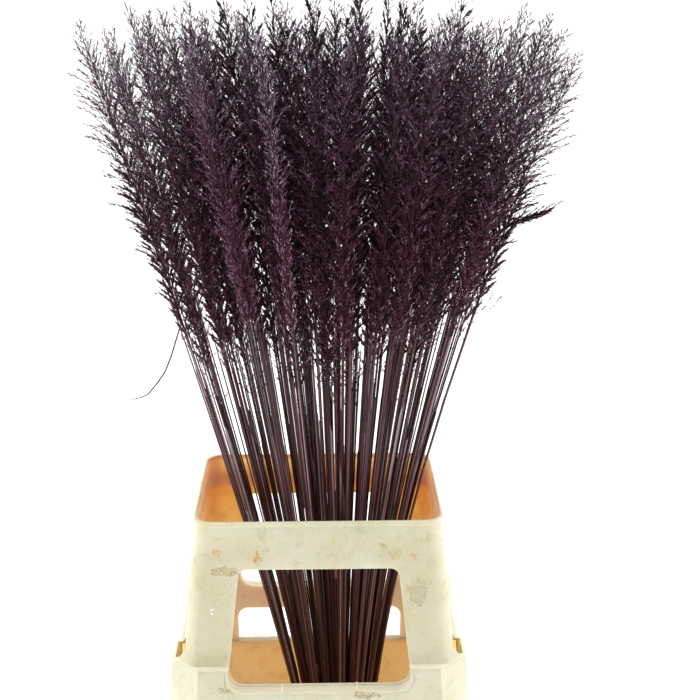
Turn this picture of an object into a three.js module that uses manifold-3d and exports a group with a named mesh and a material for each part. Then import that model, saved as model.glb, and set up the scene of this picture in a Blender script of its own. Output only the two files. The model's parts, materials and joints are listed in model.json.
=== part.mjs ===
// Potted feather reed grass: a bunch of cut plumes standing in a two-piece
// cut-flower container. Millimetres, +Z up, the front faces -Y, and the
// origin is the centre of the bin's underside.

import * as THREE from 'three';
import { mergeVertices } from 'three/addons/utils/BufferGeometryUtils.js';
import Module from 'manifold-3d';

const wasm = await Module();
wasm.setup();

// Container: heights are given as drops below the collar's top edge.
const RIM_Z = 365;
const WALL = 3;
const GAP = 0.3;
const CORNER_STEPS = 4;

const COLLAR = {
  halfX: 122.5, halfY: 92, cornerRadius: 16, drop: 236, flareEnd: 168,
  slopeX: 0.084, slopeY: 0.1016,
  beadDrop: 4, neckTop: 6, neckBottom: 31, shoulderDrop: 39, neckIn: 1.6,
};
const WINDOW = {
  top: 48, bottom: 168, halfAtRim: 75, slope: 0.087, topRadius: 9.5, bottomRadius: 15,
};
const SIDE_WINDOW = { ...WINDOW, top: 70, bottom: 130, halfAtRim: 44 };
const FLANGE = { thick: 2.5, dipMargin: 1.2, pocketWall: 3 };
const FILLET = [[0, 5], [8, 0]];
const RIB = { x: 37, thick: 1.6, height: 2.2 };
const HAND_HOLD = { half: 95, radius: 12, collarTop: 195, binTop: 204, bottom: 244.5 };
const BIN = {
  rimDrop: 145, halfX: 147, halfY: 119.5, chamfer: 27.8, slope: 0.085,
  earLength: 31, earStep: 4, floor: 4, shelfDrop: 245,
  bodyTopX: 149, bodyTopY: 121.5, footX: 139, footY: 111.5,
};

// Grass: stems fan out from a tight bundle on the bin's floor.
const STEM_COUNT = 104;
const FAN_HEIGHT = 830;
const FOOT = { x: 23, halfX: 31, halfY: 26 };
const TOP = { x: 15, halfX: 250, halfY: 150 };
const FAN_BEND = { base: 1.41, lean: 0.24 };
const STEM_SIDES = 4;
const STEM_RINGS = [0, 0.16, 0.42, 0.72];
const STEM_RADIUS = { foot: 1.95, neck: 1.6 };
const PAIR_OFFSET = 1.0;
const TIP = { outer: 838, rise: 22, spread: 44 };
const PLUME = {
  length: 298, middle: 87, lengthSpread: 70,
  rings: 12, core: 2.6, lift: 26, margin: 0.8, reach: 27,
};

const CREAM = 0xddd6b4;
const AUBERGINE = 0x2b1f2a;

// A closed mesh with merged corners, as a solid that joins and cuts.
function toSolid(geometry) {
  geometry.deleteAttribute('normal');
  geometry.deleteAttribute('uv');
  const merged = mergeVertices(geometry, 1e-4);
  return new wasm.Manifold(new wasm.Mesh({
    numProp: 3,
    vertProperties: new Float32Array(merged.attributes.position.array),
    triVerts: new Uint32Array(merged.index.array),
  }));
}

function toMesh(name, solid, color, roughness) {
  const { vertProperties, triVerts } = solid.getMesh();
  const geometry = new THREE.BufferGeometry();
  geometry.setAttribute('position', new THREE.BufferAttribute(new Float32Array(vertProperties), 3));
  geometry.setIndex(new THREE.BufferAttribute(new Uint32Array(triVerts), 1));
  geometry.computeVertexNormals();
  const material = new THREE.MeshStandardMaterial({ color, roughness, metalness: 0 });
  const mesh = new THREE.Mesh(geometry, material);
  mesh.name = name;
  return mesh;
}

function block(x0, x1, y0, y1, z0, z1) {
  const geometry = new THREE.BoxGeometry(x1 - x0, y1 - y0, z1 - z0);
  geometry.translate((x0 + x1) / 2, (y0 + y1) / 2, (z0 + z1) / 2);
  return toSolid(geometry);
}

// An outline extruded upwards, with the outline stretched to the half sizes
// that each level asks for.
function tapered(plan, planX, planY, levels) {
  const steps = levels.length - 1;
  const geometry = new THREE.ExtrudeGeometry(plan, {
    depth: steps, steps, bevelEnabled: false, curveSegments: CORNER_STEPS,
  });
  const place = geometry.attributes.position;
  for (let i = 0; i < place.count; i += 1) {
    const level = levels[Math.round(place.getZ(i))];
    const x = place.getX(i) * level.halfX / planX;
    const y = place.getY(i) * level.halfY / planY;
    place.setXYZ(i, x, y, level.z);
  }
  return toSolid(geometry);
}

function roundedPlan(halfX, halfY, radius) {
  const plan = new THREE.Shape();
  const cx = halfX - radius;
  const cy = halfY - radius;
  plan.absarc(cx, cy, radius, 0, Math.PI / 2);
  plan.absarc(-cx, cy, radius, Math.PI / 2, Math.PI);
  plan.absarc(-cx, -cy, radius, Math.PI, 1.5 * Math.PI);
  plan.absarc(cx, -cy, radius, 1.5 * Math.PI, 2 * Math.PI);
  return plan;
}

// Collar wall: its half sizes at a drop below its top edge, moved in by
// inset. It flares as far as the ledge and stands straight inside the bin.
function collarLevel(drop, inset) {
  const flared = Math.min(drop, COLLAR.flareEnd);
  return {
    z: RIM_Z - drop,
    halfX: COLLAR.halfX + COLLAR.slopeX * flared - inset,
    halfY: COLLAR.halfY + COLLAR.slopeY * flared - inset,
  };
}

function collarBlock(drops, inset) {
  const plan = roundedPlan(COLLAR.halfX, COLLAR.halfY, COLLAR.cornerRadius);
  const levels = drops.map(([drop, extra]) => collarLevel(drop, inset + extra));
  return tapered(plan, COLLAR.halfX, COLLAR.halfY, levels);
}

// A window narrowing upwards, with its own corner radii, as a cutter that
// runs through both walls along Y.
function windowCutter({ top, bottom, halfAtRim, slope, topRadius, bottomRadius }, grow) {
  const halfTop = halfAtRim + slope * top + grow;
  const halfBottom = halfAtRim + slope * bottom + grow;
  const zTop = RIM_Z - top;
  const zBottom = RIM_Z - bottom - grow;
  const shape = new THREE.Shape();
  shape.absarc(halfTop - topRadius, zTop - topRadius, topRadius, 0, Math.PI / 2);
  shape.absarc(topRadius - halfTop, zTop - topRadius, topRadius, Math.PI / 2, Math.PI);
  shape.absarc(bottomRadius - halfBottom, zBottom + bottomRadius, bottomRadius, Math.PI, 1.5 * Math.PI);
  shape.absarc(halfBottom - bottomRadius, zBottom + bottomRadius, bottomRadius, 1.5 * Math.PI, 2 * Math.PI);
  return throughY(shape);
}

function throughY(shape) {
  const reach = 2 * BIN.halfX + 40;
  const geometry = new THREE.ExtrudeGeometry(shape, {
    depth: reach, bevelEnabled: false, curveSegments: CORNER_STEPS,
  });
  geometry.translate(0, 0, -reach / 2);
  geometry.rotateX(Math.PI / 2);
  return toSolid(geometry);
}

// A hand hold with rounded top corners, cut along Y.
function handHoldCutter(top, bottom) {
  const { half, radius } = HAND_HOLD;
  const shape = new THREE.Shape();
  shape.moveTo(-half, RIM_Z - bottom);
  shape.lineTo(half, RIM_Z - bottom);
  shape.absarc(half - radius, RIM_Z - top - radius, radius, 0, Math.PI / 2);
  shape.absarc(radius - half, RIM_Z - top - radius, radius, Math.PI / 2, Math.PI);
  return throughY(shape);
}

// Flange: a flat ledge from the collar to the bin's outline, which dips round
// the front and back windows, carries two small ribs in each dip and is open
// in four corner pockets.
function makeFlange() {
  const { halfX, halfY, rimDrop, chamfer, earLength } = BIN;
  const rimZ = RIM_Z - rimDrop;
  const outline = binBlock([binLevel(rimDrop + 60, 0), binLevel(rimDrop, 0)]);
  const slab = block(-2 * halfX, 2 * halfX, -2 * halfY, 2 * halfY, rimZ - FLANGE.thick, rimZ);
  const below = block(-halfX, halfX, -2 * halfY, 2 * halfY, 0, rimZ);
  const dipBand = windowCutter(WINDOW, FLANGE.dipMargin + FLANGE.thick).intersect(below);
  const fillet = collarBlock(FILLET.map(([rise, out]) => [rimDrop - rise, -out]), 0);
  const pocket = block(
    COLLAR.halfX + 5, halfX - FLANGE.pocketWall,
    halfY - chamfer - earLength, halfY - chamfer, rimZ - 10, rimZ + 20,
  );
  const pockets = pocket.add(pocket.mirror([0, 1, 0]));
  let flange = outline.intersect(slab.add(dipBand)).add(fillet);
  flange = flange.subtract(pockets).subtract(pockets.mirror([1, 0, 0]));
  flange = flange.subtract(windowCutter(WINDOW, FLANGE.dipMargin));
  const ribZ = RIM_Z - WINDOW.bottom - FLANGE.dipMargin;
  for (const x of [-RIB.x, RIB.x]) {
    const half = RIB.thick / 2;
    const rib = block(x - half, x + half, -2 * halfY, 2 * halfY, ribZ - 1, ribZ + RIB.height);
    flange = flange.add(rib.intersect(outline));
  }
  return flange;
}

// Collar: a tapered frame with a bead and a neck at its top, a window in each
// side, a flange that sits on the bin, and legs that stand inside the bin.
function makeCollar() {
  const { beadDrop, neckTop, neckBottom, shoulderDrop, neckIn, flareEnd, drop } = COLLAR;
  const outside = [
    [drop, 0], [flareEnd, 0], [shoulderDrop, 0],
    [neckBottom, neckIn], [neckTop, neckIn], [beadDrop, 0], [0, 0],
  ];
  const inside = [
    [drop + 5, 0], [flareEnd, 0], [shoulderDrop, 0], [neckBottom, neckIn], [-5, neckIn],
  ];
  const frame = collarBlock(outside, 0)
    .subtract(windowCutter(WINDOW, 0))
    .subtract(windowCutter(SIDE_WINDOW, 0).rotate([0, 0, 90]))
    .subtract(handHoldCutter(HAND_HOLD.collarTop, drop + 5));
  return frame.add(makeFlange()).subtract(collarBlock(inside, WALL));
}

// Bin outline, seen from above: chamfered corners, and on the short sides an
// ear next to each of them that stands proud of the wall between the ears.
function binPlan() {
  const { halfX, halfY, chamfer, earLength, earStep } = BIN;
  const quarter = [
    [halfX - earStep, halfY - chamfer - earLength - earStep],
    [halfX, halfY - chamfer - earLength],
    [halfX, halfY - chamfer],
    [halfX - chamfer, halfY],
  ];
  const back = quarter.concat(quarter.map(([x, y]) => [-x, y]).reverse());
  const outline = back.concat(back.map(([x, y]) => [-x, -y]));
  return new THREE.Shape(outline.map(([x, y]) => new THREE.Vector2(x, y)));
}

function binLevel(drop, inset) {
  const out = BIN.slope * (drop - BIN.rimDrop) - inset;
  return { z: RIM_Z - drop, halfX: BIN.halfX + out, halfY: BIN.halfY + out };
}

function binBlock(levels) {
  return tapered(binPlan(), BIN.halfX, BIN.halfY, levels);
}

// Bin: a body that narrows to its foot, and above a small shelf a flared band
// whose walls dip under the collar's flange and have a hand hold each.
function makeBin() {
  const { rimDrop, floor, shelfDrop, bodyTopX, bodyTopY, footX, footY } = BIN;
  const topDrop = rimDrop + FLANGE.thick + GAP;
  const outside = binBlock([
    { z: 0, halfX: footX, halfY: footY },
    { z: RIM_Z - shelfDrop - WALL - 1, halfX: bodyTopX, halfY: bodyTopY },
    binLevel(shelfDrop + WALL, 0),
    binLevel(topDrop, 0),
  ]);
  const inside = binBlock([
    { z: floor, halfX: footX - WALL, halfY: footY - WALL },
    { z: RIM_Z - shelfDrop, halfX: bodyTopX - WALL, halfY: bodyTopY - WALL },
    binLevel(shelfDrop, WALL),
    binLevel(topDrop - 5, WALL),
  ]);
  return outside
    .subtract(inside)
    .subtract(windowCutter(WINDOW, FLANGE.dipMargin + FLANGE.thick + GAP))
    .subtract(handHoldCutter(HAND_HOLD.binTop, HAND_HOLD.bottom));
}

// A draw between 0 and 1 that is the same every time.
function draw(index, kind) {
  const wave = Math.sin(index * 12.9898 + kind * 78.233) * 43758.5453;
  return wave - Math.floor(wave);
}

// Stems are spread evenly over a disc on a golden-angle spiral, each nudged
// a little, and each is paired with its nearest free neighbour from the edge
// inwards. A pair shares its foot.
function makeStems() {
  const golden = Math.PI * (3 - Math.sqrt(5));
  const stems = [];
  for (let index = 0; index < STEM_COUNT; index += 1) {
    const radius = Math.sqrt((index + 0.5) / STEM_COUNT);
    const angle = index * golden;
    const nudge = 0.22 / Math.sqrt(STEM_COUNT);
    const u = radius * Math.cos(angle) + nudge * (2 * draw(index, 1) - 1);
    const v = radius * Math.sin(angle) + nudge * (2 * draw(index, 2) - 1);
    const inwards = 1 - radius * radius;
    const tip = TIP.outer + TIP.rise * inwards + TIP.spread * (draw(index, 3) - 0.5);
    const length = PLUME.length + PLUME.middle * inwards + PLUME.lengthSpread * (draw(index, 4) - 0.5);
    stems.push({ index, u, v, tip, length, mate: null });
  }
  for (const stem of [...stems].reverse()) {
    if (stem.mate) continue;
    const free = stems.filter((other) => other !== stem && !other.mate);
    const apart = (other) => Math.hypot(other.u - stem.u, other.v - stem.v);
    free.sort((a, b) => apart(a) - apart(b));
    stem.mate = free[0];
    free[0].mate = stem;
  }
  for (const stem of stems) {
    const { mate } = stem;
    const gap = Math.hypot(stem.u - mate.u, stem.v - mate.v);
    stem.footU = (stem.u + mate.u) / 2;
    stem.footV = (stem.v + mate.v) / 2;
    stem.footX = PAIR_OFFSET * (stem.u - mate.u) / gap;
    stem.footY = PAIR_OFFSET * (stem.v - mate.v) / gap;
  }
  return stems;
}

// Where a stem's axis is at a height.
function axisAt(stem, z) {
  const t = Math.max(z - BIN.floor, 0) / FAN_HEIGHT;
  const g = t ** (FAN_BEND.base + FAN_BEND.lean * stem.u);
  const x = FOOT.x + (TOP.x - FOOT.x) * t
    + (FOOT.halfX * stem.footU + stem.footX) * (1 - g) + TOP.halfX * stem.u * g;
  const y = (FOOT.halfY * stem.footV + stem.footY) * (1 - g) + TOP.halfY * stem.v * g;
  return new THREE.Vector3(x, y, z);
}

// Half the way to the nearest other stem at a height.
function roomAt(stem, stems, z) {
  const here = axisAt(stem, z);
  let nearest = Infinity;
  for (const other of stems) {
    if (other !== stem) nearest = Math.min(nearest, here.distanceTo(axisAt(other, z)));
  }
  return nearest / 2 - PLUME.margin;
}

// How full the plume is from its lowest branch (0) to its tip (1).
function plumeFullness(s) {
  return Math.sin(Math.PI * s ** 0.62) ** 0.75;
}

// One stem with its plume: rings of a few corners along the axis. On the
// plume, every second corner is pulled out and up into a spray.
function makeStem(stem, stems) {
  const foot = BIN.floor + GAP;
  const neck = stem.tip - stem.length;
  const rings = STEM_RINGS.map((t) => {
    const z = foot + (neck - foot) * t;
    const radius = STEM_RADIUS.foot + (STEM_RADIUS.neck - STEM_RADIUS.foot) * t;
    return { z, reach: () => radius, lift: 0, turn: 0 };
  });
  const outward = Math.atan2(stem.v, stem.u);
  const edge = Math.max(0, Math.hypot(stem.u, stem.v) - 0.75) / 0.25;
  for (let ring = 0; ring < PLUME.rings; ring += 1) {
    const s = (ring + 0.5) / PLUME.rings;
    const z = neck + stem.length * s * 0.96;
    const core = PLUME.core * (1 - 0.75 * s);
    const room = roomAt(stem, stems, z + PLUME.lift);
    const reach = (corner, angle) => {
      if ((ring + corner) % 2) return core;
      const facing = Math.max(0, Math.cos(angle - outward)) * edge;
      const full = room + Math.max(0, PLUME.reach - room) * facing;
      const ragged = 0.8 + 0.2 * draw(stem.index * 97 + ring * 7 + corner, 5);
      return Math.max(core + 1, full * plumeFullness(s) * ragged);
    };
    const turn = 0.5 * (draw(stem.index * 31 + ring, 6) - 0.5);
    rings.push({ z, reach, lift: PLUME.lift, turn, core });
  }
  const points = [];
  for (const ring of rings) {
    const centre = axisAt(stem, ring.z);
    for (let corner = 0; corner < STEM_SIDES; corner += 1) {
      const angle = stem.index + ring.turn + (2 * Math.PI * corner) / STEM_SIDES;
      const reach = ring.reach(corner, angle);
      const raised = ring.lift && reach > ring.core ? ring.lift : 0;
      const at = raised ? axisAt(stem, ring.z + raised) : centre;
      points.push(at.x + reach * Math.cos(angle), at.y + reach * Math.sin(angle), at.z);
    }
  }
  const top = axisAt(stem, stem.tip);
  points.push(top.x, top.y, top.z);
  return ringsToSolid(points, rings.length);
}

function ringsToSolid(points, ringCount) {
  const faces = [];
  for (let corner = 1; corner < STEM_SIDES - 1; corner += 1) faces.push(0, corner + 1, corner);
  for (let ring = 0; ring < ringCount - 1; ring += 1) {
    for (let corner = 0; corner < STEM_SIDES; corner += 1) {
      const a = ring * STEM_SIDES + corner;
      const b = ring * STEM_SIDES + (corner + 1) % STEM_SIDES;
      const c = a + STEM_SIDES;
      const d = b + STEM_SIDES;
      const spray = (ring - STEM_RINGS.length + corner) % 2 === 0;
      if (spray) faces.push(a, b, c, b, d, c);
      else faces.push(a, b, d, a, d, c);
    }
  }
  const last = (ringCount - 1) * STEM_SIDES;
  const apex = ringCount * STEM_SIDES;
  for (let corner = 0; corner < STEM_SIDES; corner += 1) {
    faces.push(last + corner, last + (corner + 1) % STEM_SIDES, apex);
  }
  const geometry = new THREE.BufferGeometry();
  geometry.setAttribute('position', new THREE.BufferAttribute(new Float32Array(points), 3));
  geometry.setIndex(faces);
  return toSolid(geometry);
}

const object = new THREE.Group();
object.add(toMesh('bin', makeBin(), CREAM, 0.55));
object.add(toMesh('collar', makeCollar(), CREAM, 0.5));

const stems = makeStems();
let pair = 0;
for (const stem of stems) {
  if (stem.index < stem.mate.index) {
    pair += 1;
    const solid = makeStem(stem, stems).add(makeStem(stem.mate, stems));
    const name = `reed_grass_${String(pair).padStart(2, '0')}`;
    object.add(toMesh(name, solid, AUBERGINE, 0.7));
  }
}

export default object;
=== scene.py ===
"""A bunch of dyed feather reed grass plumes in a two-piece cut-flower container.

Metres, +Z up, the front faces -Y, and the origin is the centre of the bin's underside.
"""

import json
import logging
import math
from collections.abc import Iterable
from dataclasses import dataclass, field
from enum import Enum

import bpy
import numpy as np
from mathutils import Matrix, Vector

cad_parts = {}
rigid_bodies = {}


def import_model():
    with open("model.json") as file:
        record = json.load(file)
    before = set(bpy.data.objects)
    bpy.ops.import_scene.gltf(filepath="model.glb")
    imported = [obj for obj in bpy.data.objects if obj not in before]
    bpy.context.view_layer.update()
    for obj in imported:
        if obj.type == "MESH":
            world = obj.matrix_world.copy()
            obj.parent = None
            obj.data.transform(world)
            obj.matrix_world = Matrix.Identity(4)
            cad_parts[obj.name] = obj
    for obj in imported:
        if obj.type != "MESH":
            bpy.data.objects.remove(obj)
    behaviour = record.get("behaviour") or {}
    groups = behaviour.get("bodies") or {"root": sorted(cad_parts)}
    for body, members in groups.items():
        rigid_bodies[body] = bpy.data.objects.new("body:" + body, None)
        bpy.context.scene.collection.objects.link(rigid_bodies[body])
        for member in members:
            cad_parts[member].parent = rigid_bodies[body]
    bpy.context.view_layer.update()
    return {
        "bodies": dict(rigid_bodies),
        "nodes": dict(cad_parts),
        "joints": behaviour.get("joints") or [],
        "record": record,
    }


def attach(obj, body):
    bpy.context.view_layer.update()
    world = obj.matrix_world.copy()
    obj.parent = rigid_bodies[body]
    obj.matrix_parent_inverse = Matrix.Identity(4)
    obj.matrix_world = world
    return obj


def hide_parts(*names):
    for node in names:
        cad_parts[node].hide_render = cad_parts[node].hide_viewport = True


LOG = logging.getLogger("reed_grass")
MM = 0.001
GOLDEN = math.pi * (3 - math.sqrt(5))
WHOLE_TURN = 6.28
MAP_NAME = "OFBake"
# Where the front walls stand, and how far from there a stain still reaches, in metres.
FRONT_WALL_Y = -0.106
STAIN_DEPTH = 0.04
# The colour of the painted glow: emission that stands in for the warm light that the walls pass on.
PAINTED_GLOW_COLOUR = "dcaa78"
# The height of the container's rim, in metres.
RIM_Z = 0.365


# ---------------------------------------------------------------- shared helpers


def linear(hex_colour: str) -> tuple[float, float, float, float]:
    """Turns an sRGB hex colour to linear.

    Args:
        hex_colour: Six hex digits, such as "ddd6b4".

    Returns:
        Linear red, green, blue and an alpha of 1.
    """
    parts = [int(hex_colour[i : i + 2], 16) / 255 for i in (0, 2, 4)]
    made = [c / 12.92 if c <= 0.04045 else ((c + 0.055) / 1.055) ** 2.4 for c in parts]
    return (*made, 1.0)


def draw(index: float, kind: float) -> float:
    """A draw between 0 and 1 that is the same every time, as in the part's source."""
    wave = math.sin(index * 12.9898 + kind * 78.233) * 43758.5453
    return wave - math.floor(wave)


def smooth(low: float, high: float, value: np.ndarray) -> np.ndarray:
    """A smooth step from 0 at low to 1 at high."""
    t = np.clip((value - low) / (high - low), 0, 1)
    return t * t * (3 - 2 * t)


def squared(ahead: np.ndarray, turn: float) -> tuple[np.ndarray, np.ndarray]:
    """Finds the way to the side of an axis.

    Args:
        ahead: The way that the axis goes.
        turn: The angle round it.

    Returns:
        The axis's way and the side's, at right angles and one unit long.
    """
    ahead = ahead / np.linalg.norm(ahead)
    side = np.array([math.cos(turn), math.sin(turn), 0])
    side -= ahead * (side @ ahead)
    return ahead, side / np.linalg.norm(side)


def feed(node: bpy.types.Node, inputs: dict) -> None:
    """Gives a node its inputs.

    Args:
        node: The node.
        inputs: What each input takes, by name or number: a value, an output to link, or a
            node whose first output is linked.
    """
    for key, value in inputs.items():
        if isinstance(value, bpy.types.Node):
            value = value.outputs[0]
        if isinstance(value, bpy.types.NodeSocket):
            node.id_data.links.new(value, node.inputs[key])
        else:
            node.inputs[key].default_value = value


def add_node(
    tree: bpy.types.NodeTree,
    kind: str,
    inputs: dict | None = None,
    stops: list[tuple[float, str]] | None = None,
    **settings: object,
) -> bpy.types.Node:
    """Adds a shader node.

    Args:
        tree: The node tree that takes it.
        kind: Its type name, such as "ShaderNodeMath".
        inputs: What each input takes, as for feed.
        stops: For a colour ramp, its places and hex colours.
        **settings: Its other settings.

    Returns:
        The new node.
    """
    node = tree.nodes.new(kind)
    for name, value in settings.items():
        setattr(node, name, value)
    feed(node, inputs or {})
    if stops:
        ramp = node.color_ramp
        while len(ramp.elements) < len(stops):
            ramp.elements.new(0.5)
        for element, (place, colour) in zip(ramp.elements, stops):
            element.position = place
            element.color = linear(colour)
    return node


def select_only(obj: bpy.types.Object) -> None:
    """Makes an object the only one that is selected, and the active one.

    Args:
        obj: The object.
    """
    bpy.ops.object.select_all(action="DESELECT")
    obj.select_set(True)
    bpy.context.view_layer.objects.active = obj


def apply_modifier(obj: bpy.types.Object, kind: str, **settings: object) -> None:
    """Adds a modifier with its settings and applies it.

    Args:
        obj: The object that takes it.
        kind: The modifier's type, such as "BEVEL".
        **settings: Its settings.
    """
    select_only(obj)
    modifier = obj.modifiers.new(kind.lower(), kind)
    for name, value in settings.items():
        setattr(modifier, name, value)
    bpy.ops.object.modifier_apply(modifier=modifier.name)


def take_mesh(obj: bpy.types.Object) -> "Form":
    """Reads a pattern object's mesh and removes the object.

    Args:
        obj: The pattern.

    Returns:
        Its points and faces.
    """
    mesh = obj.data
    points = np.zeros(len(mesh.vertices) * 3)
    mesh.vertices.foreach_get("co", points)
    faces = [tuple(p.vertices) for p in mesh.polygons]
    bpy.data.objects.remove(obj)
    bpy.data.meshes.remove(mesh)
    return Form(points.reshape(-1, 3), faces)


@dataclass
class Form:
    """A small mesh that is modelled once and then copied: points in rows, and faces."""

    points: np.ndarray
    faces: list[tuple[int, ...]]


@dataclass
class Gathered:
    """Copies of forms being gathered into one mesh."""

    points: list[np.ndarray] = field(default_factory=list)
    faces: list[tuple[int, ...]] = field(default_factory=list)
    maps: list[np.ndarray] = field(default_factory=list)
    slots: list[int] = field(default_factory=list)
    count: int = 0

    def add(self, points: np.ndarray, form: Form, uv: np.ndarray, slot: int) -> None:
        """Adds one copy.

        Args:
            points: The copy's own points, in metres.
            form: The form whose faces it has.
            uv: The map place of each point.
            slot: The number of its material.
        """
        self.points.append(points)
        self.maps.append(uv)
        first = self.count
        self.faces.extend(tuple(first + i for i in face) for face in form.faces)
        self.slots.extend([slot] * len(form.faces))
        self.count += len(points)

    def build(self, name: str, finishes: list[bpy.types.Material]) -> bpy.types.Object:
        """Makes the mesh object, with its map and its materials.

        Args:
            name: The object's name.
            finishes: Its materials, in the order of the slots.

        Returns:
            The object, linked to the scene.
        """
        mesh = bpy.data.meshes.new(name)
        mesh.from_pydata(np.concatenate(self.points).tolist(), [], self.faces)
        for finish in finishes:
            mesh.materials.append(finish)
        mesh.polygons.foreach_set("material_index", self.slots)
        corners = np.zeros(len(mesh.loops), np.int64)
        mesh.loops.foreach_get("vertex_index", corners)
        places = np.concatenate(self.maps)[corners]
        layer = mesh.uv_layers.new(name=MAP_NAME)
        layer.data.foreach_set("uv", places.astype(np.float32).ravel())
        mesh.update()
        obj = bpy.data.objects.new(name, mesh)
        bpy.context.scene.collection.objects.link(obj)
        return obj


# ---------------------------------------------------------------- finishes


@dataclass(frozen=True)
class FrontMark:
    """A mark on the container's front, by its middle and half size in metres: the stains, and one
    painted glint.
    """

    x: float
    z: float
    half_x: float
    half_z: float
    colour: str
    strength: float
    outline: float


@dataclass(frozen=True)
class Patches:
    """Ragged patches from noise: its grain, the levels it is cut at, and the amounts there."""

    scale: float
    detail: float
    roughness: float
    low: float
    high: float
    most: float
    least: float = 0.0

    def add(self, tree: bpy.types.NodeTree, place: bpy.types.NodeSocket) -> bpy.types.Node:
        """Adds the patches.

        Args:
            tree: The node tree that takes them.
            place: The coordinates that they follow.

        Returns:
            The node that gives their amount.
        """
        grain = {"Scale": self.scale, "Detail": self.detail, "Roughness": self.roughness}
        noise = add_node(tree, "ShaderNodeTexNoise", {"Vector": place, **grain})
        cut = {1: self.low, 2: self.high, 3: self.least, 4: self.most}
        return add_node(tree, "ShaderNodeMapRange", {"Value": noise, **cut})


@dataclass(frozen=True)
class Band:
    """An amount that changes with how far a value is from a middle, either way."""

    middle: float
    begin: float
    full: float
    most: float
    least: float = 0.0

    def add(self, tree: bpy.types.NodeTree, value: bpy.types.NodeSocket) -> bpy.types.Node:
        """Adds the band.

        Args:
            tree: The node tree that takes it.
            value: The value that it follows.

        Returns:
            The node that gives its amount.
        """
        off = add_node(tree, "ShaderNodeMath", {0: value, 1: self.middle}, operation="SUBTRACT")
        near = add_node(tree, "ShaderNodeMath", {0: off}, operation="ABSOLUTE")
        cut = {1: self.begin, 2: self.full, 3: self.least, 4: self.most}
        return add_node(tree, "ShaderNodeMapRange", {"Value": near, **cut})


@dataclass(frozen=True)
class Finish:
    """What every finish has: its name and the constants on its shader's sockets."""

    name: str
    roughness: float
    specular: float = 0.5

    def start(self) -> tuple[bpy.types.Material, bpy.types.Node]:
        """Makes the material with its constants.

        Returns:
            The material and its shader.
        """
        material = bpy.data.materials.new(self.name)
        material.use_nodes = True
        shader = material.node_tree.nodes["Principled BSDF"]
        shader.inputs["Roughness"].default_value = self.roughness
        shader.inputs["Specular IOR Level"].default_value = self.specular
        return material, shader


@dataclass(frozen=True)
class Polypropylene(Finish):
    """Injection-moulded polypropylene, smooth from the mould and a little milky.

    Light wanders some millimetres in the wall, red furthest, so a thin wall with light
    behind it glows amber.
    """

    ior: float = 1.49
    wander: tuple[float, float, float] = (1.0, 0.75, 0.45)
    wander_scale: float = 0.010
    milky: float = 1.0

    def start(self) -> tuple[bpy.types.Material, bpy.types.Node]:
        """Makes the material with its constants.

        Returns:
            The material and its shader.
        """
        material, shader = super().start()
        shader.inputs["IOR"].default_value = self.ior
        shader.inputs["Subsurface Weight"].default_value = self.milky
        shader.inputs["Subsurface Radius"].default_value = self.wander
        shader.inputs["Subsurface Scale"].default_value = self.wander_scale
        return material, shader


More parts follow.
